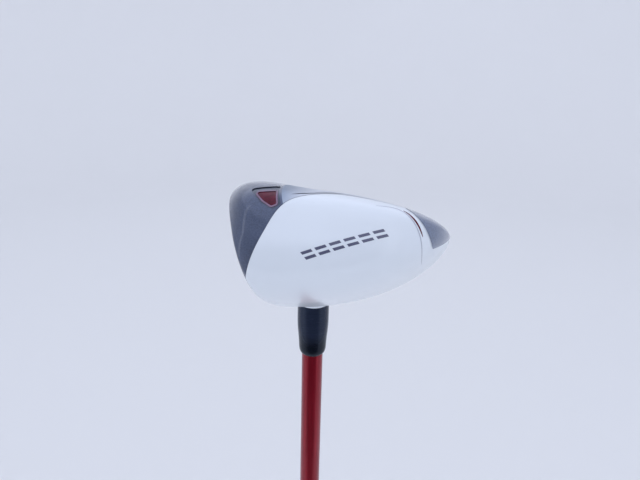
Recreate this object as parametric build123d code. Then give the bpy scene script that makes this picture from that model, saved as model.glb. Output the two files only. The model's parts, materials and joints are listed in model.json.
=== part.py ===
"""Hybrid golf club, right-handed, head up: one STEP per piece, millimetres.

Part frame: the origin is the centre of the grip's butt end and +Z runs up the shaft axis to the
head.  +X leans towards the toe and -Y is the way the face looks.

Head frame, used to build the head: x from heel to toe, y towards the target, z up from the ground.
Its origin is where the shaft axis meets the ground.
"""
from build123d import *
from functools import cache
from math import cos, pi, radians, sin, tan
import os

# ---- club ---------------------------------------------------------------------------------------
CLUB_LENGTH = 1016.0  # butt to the ground, along the shaft
LIE = 60.0  # shaft to ground
LOFT = 20.0  # face to the vertical

# ---- head outline, in the head frame ------------------------------------------------------------
MIDDLE_X = 36.0  # where the rear end of the head lies
TOE_REACH = 44.5  # widest half-width, middle to toe
HEEL_REACH = 46.0  # widest half-width, middle to heel
REAR_Y = -54.0  # rear end; the head is widest at y = 0
FRONT_Y = 20.0  # where the loft starts, clear of the face
TOE_SWEEP = 28.0  # how far the toe draws in at FRONT_Y
CROWN_TOP = 38.2  # highest point of the crown
WAIST_FRONT = 11.5  # height of the widest point, at the front
WAIST_REAR = 9.5  # and at the rear
SOLE_KEEL = 1.2  # the front of the sole reaches this far below the ground line
KEEL_FADE = 9.0  # and fades out this far behind y = 0
PLAN_POWER = 2.4  # fullness of the outline seen from above
SOLE_FALL = (1.85, 1.85)  # fullness of the sole's side profile near the face and near the rear
CROWN_FALL = (1.9, 1.5)  # the same for the crown
CROWN_POWER = 3.0  # fullness of the crown across the head
SOLE_POWER = 2.1  # fullness of the sole across the head
STATIONS = 9
SECTION_POINTS = 20

# ---- face -----------------------------------------------------------------------------------------
FACE_PROGRESSION = 15.4  # leading edge ahead of the shaft axis
LEADING_Z = 3.0
FACE_MIDDLE_X = 40.0
FACE_MIDDLE_Z = 18.0
FACE_BULGE = 330.0  # radius of the face
FACE_EDGE_RADIUS = 2.0
FACE_THICKNESS = 2.6
FACE_FRAME = 4.0  # frame left round the face plate
SCORE_LINES = 7
SCORE_PITCH = 3.2
SCORE_LENGTH = 40.0
SCORE_WIDTH = 0.7
SCORE_DEPTH = 0.4

# ---- shell ----------------------------------------------------------------------------------------
CROWN_WALL = 1.0
BODY_WALL = 2.2
LAP = 2.5  # how far the frame's ledge reaches under the crown
TOPLINE = 0.35  # frame left between the face and the crown
SEAM = [(6.5, 42.0), (2.2, 31.0), (-3.5, 18.3), (-9.4, 9.0), (-15.2, 6.1), (-28.0, 4.4)]  # (y, z)
SEAM_GROOVE = 0.15  # open line between crown and sole plate
SPLIT = [(-5.3, 4.8), (-7.9, 10.9)]  # (y, z) on the line between frame and silver sole plate
SOLE_LINE = [(-8.8, 7.3), (-11.3, 6.75), (-15.1, 5.75), (-18.8, 4.75), (-23.0, 4.0)]  # (y, z)
SOLE_LINE_WIDTH = 0.35
SOLE_LINE_DEPTH = 0.5

# ---- toe pocket, outlines in (y, z) -----------------------------------------------------------------
POCKET = [(3.3, 6.6), (-4.4, 4.3), (-7.2, 10.9), (-5.2, 12.4), (-1.4, 10.9)]
POCKET_CORNER = 0.7
ENAMEL = [(1.0, 7.7), (-4.5, 6.6), (-5.9, 10.8), (-4.5, 11.5), (-2.0, 10.2)]
ENAMEL_CORNER = 0.5
BEAD_WIDTH = 0.45
RIM_DEPTH = 0.3  # how far each of them lies below the surface
BEAD_DEPTH = 0.15
ENAMEL_DEPTH = 0.35
POCKET_FLOOR = 0.9  # thickness of the enamel

# ---- rear badge -------------------------------------------------------------------------------------
BADGE_EDGE = [(-38.0, 3.8), (-43.3, 7.5), (-46.5, 10.8), (-48.4, 14.0), (-49.0, 15.5)]  # (y, z)
BADGE_TIP = (55.8, 15.5)  # (x, z) where the straight cut end starts
BADGE_TAIL = (31.0, 5.0)  # and where it runs out at the seam
BADGE_DEPTH = 0.5
BADGE_PROUD = 0.15

# ---- inside the head --------------------------------------------------------------------------------
WEIGHT_SIZE = (26.0, 16.0, 7.0)
WEIGHT_Y = -46.0  # rear of the weight pad
RIB_X = (16.0, 56.0)
RIB_SIZE = (1.2, 32.0, 8.0)
RIB_Y = -28.0
GLUE_CENTRE = (70.0, -4.0, 12.0)
GLUE_R = 9.0

# ---- hosel, ferrule and shaft -----------------------------------------------------------------------
NECK_BLEND = 8.0  # radius of the hollow where neck and head meet
NECK_COLLAR = 1.6  # the neck piece takes in this much of the blend round it
HOSEL_TOP = 39.8  # along the shaft axis from the ground
HOSEL_FLOOR = 6.5
HOSEL_R = 6.85
HOSEL_FOOT_R = 8.2
HOSEL_FOOT = 12.0  # centre of the rounded foot
HOSEL_STRAIGHT = 6.0
HOSEL_FLARE_END = 22.0
PLUG_TOP = 9.5
BOND = 0.15  # glue line round the shaft
TIP_R = 4.7
TIP_WALL = 1.5
TIP_PARALLEL = 130.0
BUTT_R = 7.6
BUTT_WALL = 1.1
TIP_WEIGHT_LOW = 10.0
TIP_WEIGHT_LENGTH = 22.0
FERRULE_WAIST_R = 6.1
FERRULE_LENGTH = 25.6
FERRULE_TOP_R = 4.95
FERRULE_STRAIGHT = 9.0
FERRULE_NOSE = 4.5

# ---- grip -------------------------------------------------------------------------------------------
GRIP_LENGTH = 267.0
GRIP_MOUTH_R = 8.8
GRIP_BUTT_R = 13.0
CAP_R = 13.6
CAP_LENGTH = 7.0
CAP_FLOOR = 4.0
CAP_EDGE = 2.0
VENT_R = 1.6
TAPE = 0.35
TAPE_SHORT = 6.0  # tape ends this far inside the grip's mouth

FAR = 200.0  # clear of the head, for cutting tools

HEAD = Plane(
    origin=(0, 0, CLUB_LENGTH),
    x_dir=(sin(radians(LIE)), 0, cos(radians(LIE))),
    z_dir=(cos(radians(LIE)), 0, -sin(radians(LIE))),
).location
# The shaft axis in the head frame: z along it, from the ground to the grip.
NECK = Plane(origin=(0, 0, 0), z_dir=(-cos(radians(LIE)), 0, sin(radians(LIE)))).location


# ---- shapes used throughout -----------------------------------------------------------------------------
BASE = (Align.CENTER, Align.CENTER, Align.MIN)


def power(value, exponent):
    """Signed power, for superellipses."""
    return (1 if value >= 0 else -1) * abs(value) ** exponent


def fall(back, front, rear):
    """Runs from 1 at the widest station to 0 at the rear end, full near either end by its power."""
    return (1 - back**front) ** (1 / rear)


def turned(profile):
    """Solid of revolution about z from a closed (radius, z) profile."""
    return revolve(Plane.XZ * make_face(profile), Axis.Z)


def through(outline, start=-FAR, end=FAR):
    """Prism of a closed (y, z) outline, along x from start to end."""
    face = Plane.YZ * make_face(outline)
    return Pos(start, 0, 0) * extrude(face, end - start, dir=(1, 0, 0))


# ---- head surfaces --------------------------------------------------------------------------------------
def station_outline(y, inset):
    """Closed outline of the head in the plane of one station, drawn in by inset."""
    back = min(max(y / (REAR_Y + inset), 0.0), 1.0)
    ahead = max(y / FRONT_Y, 0.0)
    plan = fall(back, PLAN_POWER, PLAN_POWER)
    waist = WAIST_FRONT + (WAIST_REAR - WAIST_FRONT) * back
    keel = min(max(1 + y / KEEL_FADE, 0.0), 1.0)
    toe = (TOE_REACH - inset) * plan - TOE_SWEEP * ahead**2
    heel = (HEEL_REACH - inset) * plan
    crown = (CROWN_TOP - WAIST_FRONT - inset) * fall(back, *CROWN_FALL)
    sole = (WAIST_FRONT - inset) * fall(back, *SOLE_FALL) + SOLE_KEEL * keel
    points = []
    for i in range(SECTION_POINTS):
        turn = 2 * pi * (i + 0.5) / SECTION_POINTS
        fullness = 2 / (CROWN_POWER if sin(turn) > 0 else SOLE_POWER)
        across = power(cos(turn), fullness)
        up = power(sin(turn), fullness)
        x = MIDDLE_X + (toe if across > 0 else heel) * across
        z = waist + (crown if up > 0 else sole) * up
        points.append(Vector(x, y, z))
    return make_face(Spline(*points, periodic=True))


@cache
def head_loft(inset=0.0):
    """The head's form, drawn in by inset, running on ahead of the face."""
    stations = [FRONT_Y, FRONT_Y / 2]
    for i in range(STATIONS):
        stations.append((REAR_Y + inset) * sin(radians(87.0 * i / (STATIONS - 1))))
    return loft([station_outline(y, inset) for y in stations])


def face_ball(inset=0.0):
    """Ball whose front is the bulged face, drawn in by inset."""
    middle_y = FACE_PROGRESSION - (FACE_MIDDLE_Z - LEADING_Z) * tan(radians(LOFT))
    centre = (
        FACE_MIDDLE_X,
        middle_y - FACE_BULGE * cos(radians(LOFT)),
        FACE_MIDDLE_Z - FACE_BULGE * sin(radians(LOFT)),
    )
    return Pos(*centre) * Sphere(FACE_BULGE - inset)


@cache
def head_solid(inset=0.0):
    """The head as one solid behind its face, drawn in by inset."""
    return head_loft(inset) & face_ball(inset)


def rounded_head():
    """The outer head with the edge round its face rounded."""
    head = head_solid()
    face = head.faces().filter_by(GeomType.SPHERE)[0]
    return fillet(face.edges(), FACE_EDGE_RADIUS)


def crown_side(lap=0.0, lift=0.0):
    """Everything above and behind the crown's seam, moved back and up by lap and up by lift."""
    seam = Spline(*SEAM, tangents=[(-0.42, -1), (-1, 0)])
    first, last = SEAM[0], SEAM[-1]
    rest = Polyline(last, (-FAR, last[1]), (-FAR, FAR), (first[0], FAR), first)
    return Pos(0, -lap, lap + lift) * through(seam + rest)


def hosel_solid(grow=0.0):
    """Outer form of the neck, with a rounded foot at the heel, made wider by grow."""
    neck_r = HOSEL_R + grow
    foot_r = HOSEL_FOOT_R + grow
    foot_end = HOSEL_FOOT - foot_r
    straight_end = HOSEL_TOP - HOSEL_STRAIGHT
    flare = Spline(
        (neck_r, straight_end), (foot_r, HOSEL_FLARE_END), tangents=[(0, -1), (0, -1)]
    )
    foot = Line((foot_r, HOSEL_FLARE_END), (foot_r, HOSEL_FOOT))
    foot += ThreePointArc(
        (foot_r, HOSEL_FOOT),
        (foot_r * sin(pi / 4), HOSEL_FOOT - foot_r * cos(pi / 4)),
        (0, foot_end),
    )
    top = Polyline((0, foot_end), (0, HOSEL_TOP), (neck_r, HOSEL_TOP), (neck_r, straight_end))
    return NECK * turned(flare + foot + top)


@cache
def blended_head():
    """Head and neck as one solid, with a smooth hollow where they meet."""
    head = rounded_head()
    neck = hosel_solid()
    joined = head + neck
    return fillet(new_edges(head, neck, combined=joined), NECK_BLEND)


# ---- cutting tools of the head ----------------------------------------------------------------------------
def neck_cylinder(radius, low, high):
    """Cylinder on the shaft axis between two distances from the ground."""
    return NECK * (Pos(0, 0, low) * Cylinder(radius, high - low, align=BASE))


def toe_prism(corners, radius, grow=0.0):
    """A (y, z) outline with rounded corners, grown, carried out through the toe."""
    flat = make_face(Polyline(*corners, close=True))
    outline = fillet(flat.vertices(), radius)
    if grow:
        outline = offset(outline, grow)
    return Pos(MIDDLE_X, 0, 0) * extrude(Plane.YZ * outline, FAR, dir=(1, 0, 0))


def badge_zone():
    """Everything behind the rear badge's curved edge and below its straight cut end."""
    first, last = BADGE_EDGE[0], BADGE_EDGE[-1]
    rest = Polyline(last, (-FAR, last[1]), (-FAR, first[1]), first)
    below_cut = Polyline(BADGE_TAIL, BADGE_TIP, (FAR, BADGE_TIP[1]), (FAR, BADGE_TAIL[1]), close=True)
    below = extrude(Plane.XZ * make_face(below_cut), FAR, both=True)
    return through(Spline(*BADGE_EDGE) + rest) & below & crown_side(lift=SEAM_GROOVE)


def behind_split():
    """Everything behind the line between the frame and the sole plate."""
    (low_y, low_z), (high_y, high_z) = SPLIT
    slope = (high_y - low_y) / (high_z - low_z)
    under = (low_y + slope * (-FAR - low_z), -FAR)
    over = (low_y + slope * (FAR - low_z), FAR)
    return through(Polyline(under, over, (-FAR, FAR), (-FAR, -FAR), close=True))


def sole_line():
    """Cutting tool for the fine groove, pointed at both ends, along each side of the sole plate."""
    first, last = SOLE_LINE[0], SOLE_LINE[-1]
    lower = [(y, z - SOLE_LINE_WIDTH) for y, z in SOLE_LINE[1:-1]]
    return through(Spline(*SOLE_LINE) + Spline(first, *lower, last)) - head_solid(SOLE_LINE_DEPTH)


def score_lines():
    """Cutting tool for the grooves of the face plate."""
    lines = []
    for i in range(SCORE_LINES):
        z = FACE_MIDDLE_Z + (i - (SCORE_LINES - 1) / 2) * SCORE_PITCH
        lines.append(Pos(FACE_MIDDLE_X, 0, z) * Box(SCORE_LENGTH, FAR, SCORE_WIDTH))
    return Part() + lines - face_ball(SCORE_DEPTH)


# ---- head pieces ------------------------------------------------------------------------------------------
def head_shells():
    """Crown, frame, sole plate, badge and face plate, by node name."""
    outer = blended_head() - hosel_solid(NECK_COLLAR)
    inner = head_solid(BODY_WALL)
    under_crown = head_loft(CROWN_WALL)
    seat = (crown_side() & face_ball(TOPLINE)) - under_crown
    hollow = crown_side(lap=LAP) & face_ball(BODY_WALL + LAP)
    badge = badge_zone()
    window = head_loft(FACE_FRAME) - face_ball(FACE_THICKNESS)
    pocket = toe_prism(POCKET, POCKET_CORNER) - head_solid(ENAMEL_DEPTH + POCKET_FLOOR)

    crown = (outer - under_crown) & crown_side(lift=SEAM_GROOVE) & face_ball(TOPLINE)
    crown = crown - (badge - head_solid(BADGE_DEPTH))
    body = outer - inner - seat - hollow - window
    behind = behind_split()
    plate = (window & face_ball()) - hosel_solid(NECK_COLLAR) - score_lines()
    return {
        "crown_shell": crown,
        "head_body": body - behind - pocket,
        "sole_plate": (body & behind) - sole_line(),
        "rear_badge": (head_solid(-BADGE_PROUD) - head_solid(BADGE_DEPTH)) & badge,
        "face_plate": plate,
    }


def pocket_pieces():
    """Rim, bead and enamel of the toe pocket, by node name."""
    floor = head_solid(ENAMEL_DEPTH + POCKET_FLOOR)
    enamel = toe_prism(ENAMEL, ENAMEL_CORNER)
    beaded = toe_prism(ENAMEL, ENAMEL_CORNER, BEAD_WIDTH)
    return {
        "toe_pocket_rim": (head_solid(RIM_DEPTH) - floor) & (toe_prism(POCKET, POCKET_CORNER) - beaded),
        "toe_pocket_trim": (head_solid(BEAD_DEPTH) - floor) & (beaded - enamel),
        "toe_pocket_insert": (head_solid(ENAMEL_DEPTH) - floor) & enamel,
    }


def head_fillings():
    """Weight pad, ribs and glue inside the hollow of the head, by node name."""
    inner = head_solid(BODY_WALL)
    weight = Pos(MIDDLE_X, WEIGHT_Y, 0) * Box(*WEIGHT_SIZE, align=(Align.CENTER, Align.MIN, Align.MIN))
    rib = Box(*RIB_SIZE, align=(Align.CENTER, Align.MIN, Align.MIN))
    ribs = Part() + [Pos(x, RIB_Y, 0) * rib for x in RIB_X]
    glue = Pos(*GLUE_CENTRE) * Sphere(GLUE_R)
    return {
        "rear_weight": inner & weight,
        "sound_ribs": inner & ribs,
        "hot_melt": inner & glue,
    }


def neck_pieces():
    """Hosel, its plug and bond, the tip weight and the ferrule, by node name."""
    bore = TIP_R + BOND
    collar = (blended_head() - head_solid(BODY_WALL)) & hosel_solid(NECK_COLLAR)
    bond = neck_cylinder(bore, PLUG_TOP, HOSEL_TOP) - neck_cylinder(TIP_R, PLUG_TOP, HOSEL_TOP)
    shoulder = HOSEL_TOP + FERRULE_LENGTH
    outline = Polyline((TIP_R, shoulder), (TIP_R, HOSEL_TOP), (HOSEL_R, HOSEL_TOP))
    outline += Line((HOSEL_R, HOSEL_TOP), (HOSEL_R, HOSEL_TOP + FERRULE_STRAIGHT))
    outline += Spline(
        (HOSEL_R, HOSEL_TOP + FERRULE_STRAIGHT),
        (FERRULE_WAIST_R, shoulder - FERRULE_NOSE),
        (FERRULE_TOP_R, shoulder),
        tangents=[(0, 1), (-1, 0.8)],
    )
    outline += Line((FERRULE_TOP_R, shoulder), (TIP_R, shoulder))
    return {
        "hosel_tube": collar + hosel_solid() - neck_cylinder(bore, HOSEL_FLOOR, HOSEL_TOP),
        "hosel_plug": neck_cylinder(bore, HOSEL_FLOOR, PLUG_TOP),
        "hosel_epoxy": bond,
        "tip_weight": neck_cylinder(
            TIP_R - TIP_WALL, TIP_WEIGHT_LOW, TIP_WEIGHT_LOW + TIP_WEIGHT_LENGTH
        ),
        "ferrule": NECK * turned(outline),
    }


# ---- shaft and grip, in the part frame ----------------------------------------------------------------------
SHAFT_TOP = CLUB_LENGTH - PLUG_TOP
TAPER_END = CLUB_LENGTH - HOSEL_TOP - TIP_PARALLEL


def shaft_radius(z):
    """Outer radius of the shaft at a height above the grip's butt end."""
    rise = (z - CAP_FLOOR) / (TAPER_END - CAP_FLOOR)
    return BUTT_R + (TIP_R - BUTT_R) * rise


def shaft():
    outline = Polyline(
        (BUTT_R, CAP_FLOOR),
        (TIP_R, TAPER_END),
        (TIP_R, SHAFT_TOP),
        (TIP_R - TIP_WALL, SHAFT_TOP),
        (TIP_R - TIP_WALL, TAPER_END),
        (BUTT_R - BUTT_WALL, CAP_FLOOR),
        close=True,
    )
    return turned(outline)


def grip_tape():
    low, high = CAP_LENGTH, GRIP_LENGTH - TAPE_SHORT
    outline = Polyline(
        (shaft_radius(low), low),
        (shaft_radius(low) + TAPE, low),
        (shaft_radius(high) + TAPE, high),
        (shaft_radius(high), high),
        close=True,
    )
    return turned(outline)


def grip_sleeve():
    low, tape_end, high = CAP_LENGTH, GRIP_LENGTH - TAPE_SHORT, GRIP_LENGTH
    outline = Polyline(
        (shaft_radius(low) + TAPE, low),
        (GRIP_BUTT_R, low),
        (GRIP_MOUTH_R, high),
        (shaft_radius(high), high),
        (shaft_radius(tape_end), tape_end),
        (shaft_radius(tape_end) + TAPE, tape_end),
        close=True,
    )
    return turned(outline)


def grip_cap():
    cap = fillet(Cylinder(CAP_R, CAP_LENGTH, align=BASE).edges().group_by(Axis.Z)[0], CAP_EDGE)
    seat = Polyline(
        (0, CAP_FLOOR),
        (BUTT_R, CAP_FLOOR),
        (shaft_radius(CAP_LENGTH), CAP_LENGTH),
        (0, CAP_LENGTH),
        close=True,
    )
    return cap - turned(seat) - Cylinder(VENT_R, 2 * CAP_LENGTH)


# ---- build ------------------------------------------------------------------------------------------------
def club():
    """Every piece in the part frame, by node name."""
    head = head_shells() | pocket_pieces() | head_fillings() | neck_pieces()
    pieces = {name: HEAD * piece for name, piece in head.items()}
    pieces["shaft"] = shaft()
    pieces["grip_tape"] = grip_tape()
    pieces["grip_sleeve"] = grip_sleeve()
    pieces["grip_cap"] = grip_cap()
    return pieces


if __name__ == "__main__":
    os.makedirs("parts", exist_ok=True)
    for name, piece in club().items():
        export_step(piece, f"parts/{name}.step")
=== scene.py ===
"""Looks of the hybrid golf club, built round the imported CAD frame.

The club stands head up: +Z runs up the shaft from the grip, +X leans to the toe and the face
looks along -Y.  Lengths are metres where no other unit is given.
"""
import json
import math

import bmesh
import bpy
from mathutils import Matrix, Vector
from mathutils.bvhtree import BVHTree


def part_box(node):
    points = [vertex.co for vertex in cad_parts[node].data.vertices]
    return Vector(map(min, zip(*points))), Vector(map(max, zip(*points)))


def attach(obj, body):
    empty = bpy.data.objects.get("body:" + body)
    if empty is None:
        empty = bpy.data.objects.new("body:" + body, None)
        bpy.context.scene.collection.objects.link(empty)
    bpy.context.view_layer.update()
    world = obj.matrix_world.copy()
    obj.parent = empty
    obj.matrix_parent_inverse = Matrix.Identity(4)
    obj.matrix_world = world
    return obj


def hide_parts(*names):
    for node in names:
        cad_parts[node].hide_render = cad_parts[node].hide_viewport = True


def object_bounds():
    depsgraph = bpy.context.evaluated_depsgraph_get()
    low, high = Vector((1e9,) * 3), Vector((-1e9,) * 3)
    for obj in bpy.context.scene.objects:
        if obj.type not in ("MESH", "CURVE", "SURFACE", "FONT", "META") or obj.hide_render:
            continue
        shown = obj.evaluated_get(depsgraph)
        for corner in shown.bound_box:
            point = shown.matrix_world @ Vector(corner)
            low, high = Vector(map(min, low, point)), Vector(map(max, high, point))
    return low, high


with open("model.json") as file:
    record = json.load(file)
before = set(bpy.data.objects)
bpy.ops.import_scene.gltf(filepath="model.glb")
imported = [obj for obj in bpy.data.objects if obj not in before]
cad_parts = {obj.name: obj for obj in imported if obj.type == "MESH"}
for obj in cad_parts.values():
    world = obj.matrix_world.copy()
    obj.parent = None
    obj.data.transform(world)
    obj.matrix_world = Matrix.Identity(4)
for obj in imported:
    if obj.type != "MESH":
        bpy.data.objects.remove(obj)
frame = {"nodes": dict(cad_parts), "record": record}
CAD_LOW, CAD_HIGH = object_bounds()
NODES = frame["nodes"]
MM = 0.001

# ---- paint on the crown, in mm of the head frame -------------------------------------------------
PAINT = 0.04 * MM  # thickness of the painted marks, in metres
SWEEP = [(-33.0, 7.0), (-37.5, 6.5), (-40.3, 7.1), (-42.6, 8.6), (-44.3, 10.4)]
SWEEP += [(-45.5, 12.4), (-46.3, 14.4), (-46.8, 17.0), (-46.9, 20.0)]
SWEEP_STEPS = 12  # points between two corners of the sweep
RED_SPAN = (0.22, 0.70)  # the part of the sweep that is red
RED_HALF, GREY_SHADOW_HALF = 0.24, 0.16  # half-widths
# offset of the grey line from the red one; the grey line is partly a painted shadow
GREY_SHADOW_SHIFT = Vector((0.75, 0.1))
DASH_START, DASH_LENGTH = Vector((-14.7, 24.0)), 23.4
DASH_ALONG = Vector((-21.4, -9.6)).normalized()
DASHES, DASH_GAP, DASH_HEIGHT, DASH_SLANT = 6, 1.0, 0.78, 0.35
DASH_LEVELS = (-1.15, 0.37)  # the two rows
DASH_COLUMNS, DASH_ROWS = 8, 3  # faces along and across one dash

# ---- grip pattern, in mm above the cap -----------------------------------------------------------
GRIP_TURNS, GRIP_STEPS = 144, 520  # points round and faces along the sleeve
GRIP_RINGS = (4.0, 92.0, 176.0, 252.0)
RING_DEPTH, RING_HALF = 0.45, 1.1
PLAIN_HALF = 6  # plain rubber on each side of a ring
PATTERN_START, PATTERN_END = 8, 248
LOZENGES, LOZENGE_PITCH = 12, 5  # round the grip, and mm along it
GROOVE_DEPTH, GROOVE_WIDTH, GROOVE_POWER = 0.55, 0.34, 0.7
BEVEL_START, BEVEL_LENGTH, BEVEL_DEPTH = 258.5, 1.5, 0.5  # at the mouth
MOUTH_LIP = 0.6  # how far the mouth's flat ring starts inside the sleeve's edge

# ---- stage, light and camera ---------------------------------------------------------------------
COVE_FLOOR, COVE_BEND, COVE_HEIGHT = 3.2, 1.2, 3.0
COVE_CENTRE = 0.001  # radius of the pinhole that the floor's faces leave in the middle
COVE_STEPS, COVE_TURNS = 16, 96
WALL_GREY, FLOOR_GREY = 0.84, 0.735
CARD_SIZE = (1.9, 1.5, 1)
CARD_PLACE, CARD_TARGET = Vector((0.95, 0.2, 0.42)), Vector((0, 0, 0.95))
SKY, SKY_STRENGTH = (0.803, 0.853, 1.0), 1.27
LAMP_COLOUR = (0.93, 0.96, 1.0)
LAMPS = (  # name, place from the head, width and height, power, seen in reflections
    ("top_soft", (0.5, 0.1, 1.1), (1.2, 1.2), 0.15, True),
    ("low_fill", (0.85, 0.15, -0.85), (1.0, 1.0), 2.4, False),
    ("left_strip", (0.55, -1.0, 0.0), (0.12, 1.5), 0.45, True),
    ("right_strip", (0.45, 1.0, 0.0), (0.2, 1.5), 0.6, True),
)
EYE_ELEVATION, EYE_TURN, EYE_ROLL = math.radians(22.83), math.radians(12.19), math.radians(1.47)
EYE_PLACE = Vector((224.54, 50.72, 85.90)) * MM  # from where the shaft axis meets the ground
EYE_LENS = 33.67  # mm

# ---- places worked out from the frame ------------------------------------------------------------
LIE = math.radians(60)
PLUG_TOP = 9.5 * MM  # shaft tip above the ground line, along the shaft
GROUND = Vector((0, 0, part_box("shaft")[1].z + PLUG_TOP))  # shaft axis meets the ground line
HEAD = Matrix(
    (
        (math.sin(LIE), 0, math.cos(LIE), GROUND.x),
        (0, -1, 0, GROUND.y),
        (math.cos(LIE), 0, -math.sin(LIE), GROUND.z),
        (0, 0, 0, 1),
    )
)


def head_point(x, y, z):
    """A point of the head frame (toe, target, up; mm) in the part frame, in metres."""
    return HEAD @ Vector((x * MM, y * MM, z * MM))


# ---- node graphs ---------------------------------------------------------------------------------
class Graph:
    """A material's node tree, with short calls for what the materials share."""

    def __init__(self, name, **settings):
        self.material = bpy.data.materials.new(name)
        self.material.use_nodes = True
        self.tree = self.material.node_tree
        self.tree.nodes.clear()
        self.shader = self.add("ShaderNodeBsdfPrincipled")
        output = self.add("ShaderNodeOutputMaterial")
        self.link(self.shader.outputs["BSDF"], output.inputs["Surface"])
        for socket, value in settings.items():
            self.shader.inputs[socket.replace("_", " ")].default_value = value
        self.place = self.add("ShaderNodeTexCoord").outputs["Object"]

    def add(self, kind, **values):
        """A new node with its settings."""
        node = self.tree.nodes.new(kind)
        for key, value in values.items():
            setattr(node, key, value)
        return node

    def link(self, source, target):
        self.tree.links.new(source, target)

    def scaled(self, scale):
        """Object coordinates, stretched."""
        mapping = self.add("ShaderNodeMapping")
        mapping.inputs["Scale"].default_value = scale
        self.link(self.place, mapping.inputs["Vector"])
        return mapping.outputs["Vector"]

    def noise(self, scale, detail=3.0, stretch=(1, 1, 1)):
        """Soft noise from 0 to 1."""
        node = self.add("ShaderNodeTexNoise")
        node.inputs["Scale"].default_value = scale
        node.inputs["Detail"].default_value = detail
        self.link(self.scaled(stretch), node.inputs["Vector"])
        return node.outputs["Fac"]

    def flakes(self, scale):
        """Small cells, each of its own value."""
        node = self.add("ShaderNodeTexVoronoi")
        node.inputs["Scale"].default_value = scale
        self.link(self.place, node.inputs["Vector"])
        return node.outputs["Color"]

    def ramp(self, source, stops):
        """Colours from (position, colour) stops."""
        node = self.add("ShaderNodeValToRGB")
        elements = node.color_ramp.elements
        while len(elements) < len(stops):
            elements.new(0.5)
        for element, (position, colour) in zip(elements, stops):
            element.position = position
            element.color = (*colour, 1)
        self.link(source, node.inputs["Fac"])
        return node.outputs["Color"]

    def range(self, source, low, high):
        """A value from 0 to 1 spread from low to high."""
        node = self.add("ShaderNodeMapRange")
        node.inputs["To Min"].default_value = low
        node.inputs["To Max"].default_value = high
        self.link(source, node.inputs["Value"])
        return node.outputs["Result"]

    def fade(self, source, near, start, end, axis="Y"):
        """Runs from the colour near at one place along the axis into the source's at another."""
        split = self.add("ShaderNodeSeparateXYZ")
        self.link(self.place, split.inputs["Vector"])
        along = self.add("ShaderNodeMapRange")
        along.inputs["From Min"].default_value = start
        along.inputs["From Max"].default_value = end
        self.link(split.outputs[axis], along.inputs["Value"])
        mix = self.add("ShaderNodeMix", data_type="RGBA")
        mix.inputs["A"].default_value = (*near, 1)
        self.link(along.outputs["Result"], mix.inputs["Factor"])
        self.link(source, mix.inputs["B"])
        return mix.outputs["Result"]

    def colour(self, source):
        self.link(source, self.shader.inputs["Base Color"])

    def roughness(self, source):
        self.link(source, self.shader.inputs["Roughness"])

    def bump(self, source, height, strength=1.0):
        node = self.add("ShaderNodeBump")
        node.inputs["Distance"].default_value = height
        node.inputs["Strength"].default_value = strength
        self.link(source, node.inputs["Height"])
        self.link(node.outputs["Normal"], self.shader.inputs["Normal"])


def shade(colour, factor):
    """The colour made darker or lighter."""
    return tuple(channel * factor for channel in colour)


# ---- materials -----------------------------------------------------------------------------------
def white_paint():
    white = (0.70, 0.745, 0.80)
    g = Graph("white_paint", Roughness=0.4, Coat_Weight=0.45, Coat_Roughness=0.12)
    g.colour(g.ramp(g.noise(40), [(0.3, shade(white, 0.97)), (0.7, white)]))
    g.roughness(g.range(g.noise(900, 2), 0.28, 0.38))
    return g.material


def flake_paint(name, colour, metallic, coat, coat_rough, rough, spread=None):
    """Metallic paint with fine flakes under a clear coat; spread is its uneven roughness."""
    g = Graph(
        name, Metallic=metallic, Roughness=rough, Coat_Weight=coat, Coat_Roughness=coat_rough
    )
    g.colour(g.ramp(g.flakes(4000), [(0.2, shade(colour, 0.85)), (0.9, shade(colour, 1.2))]))
    if spread:
        g.roughness(g.range(g.noise(500, 2), *spread))
    return g.material


def satin_steel():
    silver, near_frame = (0.68, 0.71, 0.77), (0.24, 0.29, 0.38)
    g = Graph("satin_steel", Metallic=1.0, Roughness=0.35)
    grain = g.noise(300, 6, (1, 20, 20))
    fine = g.ramp(grain, [(0.3, shade(silver, 0.9)), (0.7, silver)])
    # the plate runs darker towards its edge by the slate frame: silver at 14 mm along Y fades into
    # this darker tone at 6 mm
    g.colour(g.fade(fine, near_frame, 6 * MM, 14 * MM))
    g.roughness(g.range(grain, 0.28, 0.42))
    g.bump(grain, 0.02 * MM, 0.4)
    return g.material


def face_steel():
    grey = (0.34, 0.37, 0.42)
    g = Graph("face_steel", Metallic=1.0, Roughness=0.45)
    blast = g.noise(2500, 4)
    g.colour(g.ramp(g.noise(60, 4), [(0.3, shade(grey, 0.85)), (0.75, grey)]))
    g.roughness(g.range(blast, 0.38, 0.55))
    g.bump(blast, 0.03 * MM, 0.5)
    return g.material


def red_enamel():
    red = (0.11, 0.006, 0.024)
    g = Graph("red_enamel", Roughness=0.25, Specular_IOR_Level=0.25)
    g.colour(g.ramp(g.noise(700, 2), [(0.3, shade(red, 0.6)), (0.7, red)]))
    return g.material


def bead_metal():
    pink = (0.23, 0.155, 0.22)
    g = Graph("bead_metal", Metallic=0.9, Roughness=0.25)
    g.colour(g.ramp(g.noise(600, 2), [(0.3, shade(pink, 0.85)), (0.7, pink)]))
    return g.material


def ferrule_plastic():
    black = (0.010, 0.014, 0.028)
    g = Graph("ferrule_plastic", Roughness=0.25, Specular_IOR_Level=0.3)
    g.shader.inputs["Specular Tint"].default_value = (0.62, 0.76, 1.0, 1)
    turned = g.noise(500, 3, (1, 1, 12))
    gloss = g.ramp(turned, [(0.3, black), (0.8, shade(black, 1.6))])
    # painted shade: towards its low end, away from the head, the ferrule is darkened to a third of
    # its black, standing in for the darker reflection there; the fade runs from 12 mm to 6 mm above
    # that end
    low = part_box("ferrule")[0].z
    g.colour(g.fade(gloss, shade(black, 0.3), low + 6 * MM, low + 12 * MM, "Z"))
    g.roughness(g.range(turned, 0.18, 0.32))
    return g.material


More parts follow.
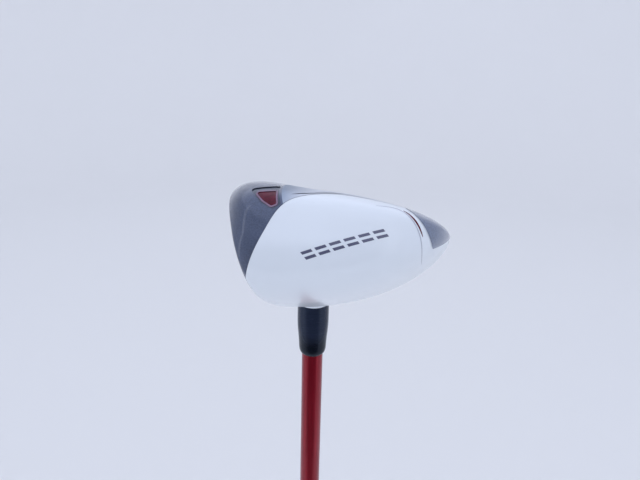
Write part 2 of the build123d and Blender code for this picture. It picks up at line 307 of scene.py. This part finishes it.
def shaft_graphite():
    red = (0.27, 0.003, 0.015)
    g = Graph("shaft_graphite", Metallic=0.6, Roughness=0.3, Coat_Weight=0.22, Coat_Roughness=0.08)
    fibre = g.noise(900, 4, (1, 1, 0.04))
    g.colour(g.ramp(fibre, [(0.25, shade(red, 0.75)), (0.8, shade(red, 1.15))]))
    g.roughness(g.range(fibre, 0.24, 0.36))
    return g.material


def grip_rubber():
    black = (0.016, 0.016, 0.018)
    g = Graph("grip_rubber", Roughness=0.62, Specular_IOR_Level=0.35)
    pores = g.noise(1500, 4)
    g.colour(g.ramp(pores, [(0.3, shade(black, 0.8)), (0.8, shade(black, 1.5))]))
    g.roughness(g.range(pores, 0.55, 0.75))
    g.bump(pores, 0.06 * MM, 0.5)
    return g.material


def line_paint(name, colour, rough, coat):
    """Grey of the marks on the crown: print for the dashes; for the line beside the red sweep,
    partly a painted shadow and partly the stripe's printed grey.
    """
    g = Graph(name, Roughness=rough, Coat_Weight=coat, Coat_Roughness=0.08)
    g.colour(g.ramp(g.noise(500, 2), [(0.3, shade(colour, 0.9)), (0.7, colour)]))
    return g.material


def plain(name, colour, metallic=0.0, rough=0.5):
    """Cast, moulded or glued stuff inside the club."""
    g = Graph(name, Metallic=metallic, Roughness=rough)
    grain = g.noise(400, 4)
    g.colour(g.ramp(grain, [(0.3, shade(colour, 0.85)), (0.7, colour)]))
    g.bump(grain, 0.05 * MM, 0.4)
    return g.material


def dress_nodes():
    """Gives every CAD node its finish."""
    made = {
        "white_paint": white_paint(),
        "slate_paint": flake_paint(
            "slate_paint", (0.047, 0.066, 0.125), 0.55, 1.0, 0.05, 0.32, (0.27, 0.37)
        ),
        "badge_paint": flake_paint(
            "badge_paint", (0.135, 0.17, 0.26), 0.4, 1.0, 0.05, 0.3, (0.26, 0.34)
        ),
        "satin_steel": satin_steel(),
        "face_steel": face_steel(),
        "red_enamel": red_enamel(),
        # painted shade: the pocket's rim is painted darker than the frame, standing in for the
        # shade that falls in the recess under its wall
        "pocket_paint": flake_paint("pocket_paint", (0.035, 0.046, 0.082), 0.4, 0.6, 0.08, 0.3),
        "bead_metal": bead_metal(),
        "ferrule_plastic": ferrule_plastic(),
        "shaft_graphite": shaft_graphite(),
        "grip_rubber": grip_rubber(),
        "weight_steel": plain("weight_steel", (0.25, 0.25, 0.26), 1.0, 0.5),
        "hot_melt": plain("hot_melt", (0.75, 0.68, 0.45), 0.0, 0.3),
        "plug_plastic": plain("plug_plastic", (0.08, 0.08, 0.08)),
        "epoxy": plain("epoxy", (0.55, 0.50, 0.38), 0.0, 0.25),
        "weight_brass": plain("weight_brass", (0.60, 0.45, 0.18), 1.0, 0.35),
        "grip_tape": plain("grip_tape", (0.80, 0.78, 0.70), 0.0, 0.8),
    }
    for part in frame["record"]["subparts"]:
        node = NODES[part["node"]]
        node.data.materials.clear()
        node.data.materials.append(made[part["material_slot"]])
    return made


# ---- pieces added to the frame -------------------------------------------------------------------
def add_piece(name, bm, material):
    """Turns a bmesh into a smooth piece that rides with the club."""
    mesh = bpy.data.meshes.new(name)
    bm.to_mesh(mesh)
    bm.free()
    mesh.shade_smooth()
    mesh.materials.append(material)
    piece = bpy.data.objects.new(name, mesh)
    bpy.context.scene.collection.objects.link(piece)
    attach(piece, "root")
    return piece


class Skin:
    """The toe side of a CAD node, for laying thin paint on it."""

    def __init__(self, node):
        mesh = NODES[node].data
        points = [vertex.co for vertex in mesh.vertices]
        self.tree = BVHTree.FromPolygons(points, [face.vertices for face in mesh.polygons])

    def at(self, y, z, lift):
        """Point of the skin, lifted, that is seen at (y, z) when looking at the toe."""
        start = head_point(150, y, z)
        place, normal, _, _ = self.tree.ray_cast(start, head_point(0, y, z) - start)
        return place + normal * lift


def sheet(bm, grid):
    """Faces between the rows of a grid of points."""
    rows = [[bm.verts.new(point) for point in row] for row in grid]
    for row, following in zip(rows, rows[1:]):
        for j in range(len(row) - 1):
            bm.faces.new((row[j], row[j + 1], following[j + 1], following[j]))


def smooth_path(points, steps):
    """Catmull-Rom curve through the points of a plane."""
    ends = [points[0] * 2 - points[1], *points, points[-1] * 2 - points[-2]]
    path = []
    for a, b, c, d in zip(ends, ends[1:], ends[2:], ends[3:]):
        for i in range(steps):
            t = i / steps
            path.append(
                b + (c - a) * t / 2 + (a * 2 - b * 5 + c * 4 - d) * t**2 / 2
                + (b * 3 - a - c * 3 + d) * t**3 / 2
            )
    return [*path, points[-1]]


def add_paint(name, bm, material):
    """Turns sheets of paint into closed patches whose outer face stays where it is."""
    bmesh.ops.remove_doubles(bm, verts=bm.verts, dist=0.001 * MM)
    bmesh.ops.recalc_face_normals(bm, faces=bm.faces)
    bmesh.ops.solidify(bm, geom=bm.faces[:], thickness=PAINT)
    piece = add_piece(name, bm, material)
    piece.data.set_sharp_from_angle(angle=math.radians(60))


def painted_line(name, skin, path, widths, material):
    """A thin line of paint; widths are its half-widths along the path."""
    bm = bmesh.new()
    grid = []
    for i, middle in enumerate(path):
        along = (path[min(i + 1, len(path) - 1)] - path[max(i - 1, 0)]).normalized()
        across = Vector((-along.y, along.x))
        half = widths(i / (len(path) - 1))
        row = [middle + across * half * side for side in (-1, -0.33, 0.33, 1)]
        grid.append([skin.at(point.x, point.y, PAINT) for point in row])
    sheet(bm, grid)
    add_paint(name, bm, material)


def crown_sweep(skin, red_finish):
    """Red line beside the rear badge, with a thin grey one next to it; the grey one is partly a
    painted shadow along the red and partly the stripe's own grey ends.
    """
    sweep = smooth_path([Vector(point) for point in SWEEP], SWEEP_STEPS)
    first, last = (round((len(sweep) - 1) * part) for part in RED_SPAN)
    painted_line(
        "sweep_red", skin, sweep[first:last], lambda t: RED_HALF * math.sin(math.pi * t) ** 0.5,
        red_finish,
    )
    # painted shadow: a faint grey line set beside the red one for the shadow that runs along it;
    # past the red's ends it is the stripe's own grey
    beside = [point + GREY_SHADOW_SHIFT for point in sweep]
    painted_line(
        "sweep_grey_and_shadow", skin, beside, lambda t: GREY_SHADOW_HALF * math.sin(math.pi * t) ** 0.5,
        line_paint("grey_line_and_shadow", (0.46, 0.47, 0.55), 0.4, 0.6),
    )


def dash_grid(skin, start, level, length):
    """Points of one slanted dash on the skin."""
    across = Vector((DASH_ALONG.y, -DASH_ALONG.x))
    grid = []
    for k in range(DASH_COLUMNS + 1):
        row = []
        for j in range(DASH_ROWS + 1):
            t = level + DASH_HEIGHT * j / DASH_ROWS
            along = start + length * k / DASH_COLUMNS + DASH_SLANT * t
            place = DASH_START + DASH_ALONG * along + across * t
            row.append(skin.at(place.x, place.y, PAINT))
        grid.append(row)
    return grid


def crown_dashes(skin):
    """Two rows of plain dashes along the middle of the crown."""
    bm = bmesh.new()
    length = (DASH_LENGTH - DASH_GAP * (DASHES - 1)) / DASHES
    for i in range(DASHES):
        for level in DASH_LEVELS:
            sheet(bm, dash_grid(skin, i * (length + DASH_GAP), level, length))
    finish = line_paint("dash_paint", (0.095, 0.100, 0.165), 0.35, 0.8)
    add_paint("crown_dashes", bm, finish)


def ring_of_points(bm, z, radius):
    """Points round the club's axis at z; radius gives their distance from it at an angle."""
    ring = []
    for j in range(GRIP_TURNS):
        a = 2 * math.pi * j / GRIP_TURNS
        r = radius(a)
        ring.append(bm.verts.new((r * math.cos(a), r * math.sin(a), z)))
    return ring


def grip(finish):
    """Closed rubber sleeve with a pressed pattern of small lozenges between plain bands."""
    low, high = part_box("grip_sleeve")
    tape_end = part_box("grip_tape")[1].z
    cad = NODES["grip_sleeve"].data.vertices
    tape = NODES["grip_tape"].data.vertices
    butt = max(v.co.xy.length for v in cad if v.co.z < low.z + MM)
    butt_bore = min(v.co.xy.length for v in cad if v.co.z < low.z + MM)
    mouth = max(v.co.xy.length for v in cad if v.co.z > high.z - MM)
    bore = min(v.co.xy.length for v in cad if v.co.z > high.z - MM)
    taped = max(v.co.xy.length for v in tape if v.co.z > tape_end - MM)
    length = high.z - low.z
    bm = bmesh.new()
    rings = []
    for i in range(GRIP_STEPS + 1):
        t = i / GRIP_STEPS
        radius = butt + (mouth - butt) * t
        rings.append(
            ring_of_points(
                bm,
                low.z + length * t,
                lambda a: radius - grip_pattern(length * t / MM, a) * MM,
            )
        )
    lip = mouth - MOUTH_LIP * MM
    inside = ((lip, high.z), (bore, high.z), (taped, tape_end), (butt_bore, low.z))
    for radius, z in inside:
        rings.append(ring_of_points(bm, z, lambda a: radius))
    for ring, following in zip(rings, rings[1:] + rings[:1]):
        for j in range(GRIP_TURNS):
            k = (j + 1) % GRIP_TURNS
            bm.faces.new((ring[j], ring[k], following[k], following[j]))
    piece = add_piece("grip_rubber_sleeve", bm, finish)
    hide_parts("grip_sleeve")


def grip_pattern(z, a):
    """Depth in mm of the pressed pattern, z mm above the cap."""
    off_ring = min(abs(z - place) for place in GRIP_RINGS)
    depth = RING_DEPTH * max(1 - (off_ring / RING_HALF) ** 2, 0)
    if off_ring >= PLAIN_HALF and PATTERN_START <= z <= PATTERN_END:
        u = math.sin(LOZENGES * a + z * math.pi / LOZENGE_PITCH)
        v = math.sin(LOZENGES * a - z * math.pi / LOZENGE_PITCH)
        groove = max(1 - min(abs(u), abs(v)) / GROOVE_WIDTH, 0)
        depth = max(depth, GROOVE_DEPTH * groove**GROOVE_POWER)
    return depth + BEVEL_DEPTH * max(z - BEVEL_START, 0) / BEVEL_LENGTH


# ---- making the stage, light and camera ----------------------------------------------------------
def cove():
    """Pale floor that turns up into a round wall, wide enough for any camera to stand inside."""
    profile = [(COVE_CENTRE, 0.0), (COVE_FLOOR, 0.0)]
    for i in range(1, COVE_STEPS + 1):
        a = math.pi / 2 * i / COVE_STEPS
        profile.append((COVE_FLOOR + COVE_BEND * math.sin(a), COVE_BEND - COVE_BEND * math.cos(a)))
    profile.append((COVE_FLOOR + COVE_BEND, COVE_HEIGHT))
    bm = bmesh.new()
    rings = []
    for i in range(COVE_TURNS):
        a = 2 * math.pi * i / COVE_TURNS
        rings.append([bm.verts.new((r * math.cos(a), r * math.sin(a), z)) for r, z in profile])
    for i in range(COVE_TURNS):
        here, there = rings[i], rings[(i + 1) % COVE_TURNS]
        for j in range(len(profile) - 1):
            bm.faces.new((here[j], there[j], there[j + 1], here[j + 1]))
    mesh = bpy.data.meshes.new("cove")
    bm.to_mesh(mesh)
    bm.free()
    mesh.shade_smooth()
    stage = bpy.data.objects.new("cove", mesh)
    stage.location.z = CAD_LOW.z
    bpy.context.scene.collection.objects.link(stage)
    g = Graph("cove_paint", Roughness=0.9)
    pale = (WALL_GREY,) * 3
    wall = g.ramp(g.noise(0.6, 2), [(0.3, shade(pale, 0.97)), (0.7, pale)])
    g.colour(g.fade(wall, (FLOOR_GREY,) * 3, 0.0, COVE_BEND, "Z"))
    mesh.materials.append(g.material)


def area_light(name, place, size, power, glossy):
    """A soft lamp that stands at the place from the head and points at it."""
    lamp = bpy.data.lights.new(name, "AREA")
    lamp.shape = "RECTANGLE"
    lamp.size, lamp.size_y = size
    lamp.energy = power
    lamp.color = LAMP_COLOUR
    holder = bpy.data.objects.new(name, lamp)
    holder.location = GROUND + Vector(place)
    holder.rotation_euler = (GROUND - holder.location).to_track_quat("-Z", "Y").to_euler()
    holder.visible_glossy = glossy
    bpy.context.scene.collection.objects.link(holder)


def dark_card():
    """A flag that only reflections see, so that the glossy parts have a dark core."""
    bpy.ops.mesh.primitive_plane_add(size=1)
    card = bpy.context.active_object
    card.name = "dark_card"
    card.scale = CARD_SIZE
    card.location = CARD_PLACE
    card.rotation_euler = (CARD_TARGET - CARD_PLACE).to_track_quat("Z", "Y").to_euler()
    card.visible_camera = False
    card.visible_diffuse = False
    card.visible_shadow = False
    g = Graph("card_cloth", Roughness=0.9)
    dark = (0.03, 0.035, 0.05)
    g.colour(g.ramp(g.noise(3, 2), [(0.3, shade(dark, 0.8)), (0.7, dark)]))
    card.data.materials.append(g.material)


def lighting():
    """Bluish sky light all round, and the lamps."""
    world = bpy.data.worlds.new("studio")
    world.use_nodes = True
    background = world.node_tree.nodes["Background"]
    background.inputs["Color"].default_value = (*SKY, 1)
    background.inputs["Strength"].default_value = SKY_STRENGTH
    bpy.context.scene.world = world
    for lamp in LAMPS:
        area_light(*lamp)


def camera():
    """The eye stands off the toe, above the head, and turned a little to the back of the club."""
    away = Vector(
        (
            math.cos(EYE_ELEVATION) * math.cos(EYE_TURN),
            math.cos(EYE_ELEVATION) * math.sin(EYE_TURN),
            math.sin(EYE_ELEVATION),
        )
    )
    data = bpy.data.cameras.new("eye")
    data.lens = EYE_LENS
    data.clip_start = 0.01
    eye = bpy.data.objects.new("eye", data)
    bpy.context.scene.collection.objects.link(eye)
    eye.rotation_mode = "QUATERNION"
    looking = (-away).to_track_quat("-Z", "Y")
    eye.rotation_quaternion = looking @ Matrix.Rotation(EYE_ROLL, 4, "Z").to_quaternion()
    eye.location = GROUND + EYE_PLACE
    bpy.context.scene.camera = eye


# ---- build ---------------------------------------------------------------------------------------
finishes = dress_nodes()
crown = Skin("crown_shell")
crown_sweep(crown, finishes["red_enamel"])
crown_dashes(crown)
grip(finishes["grip_rubber"])
cove()
dark_card()
lighting()
camera()
bpy.context.scene.view_settings.view_transform = "Standard"
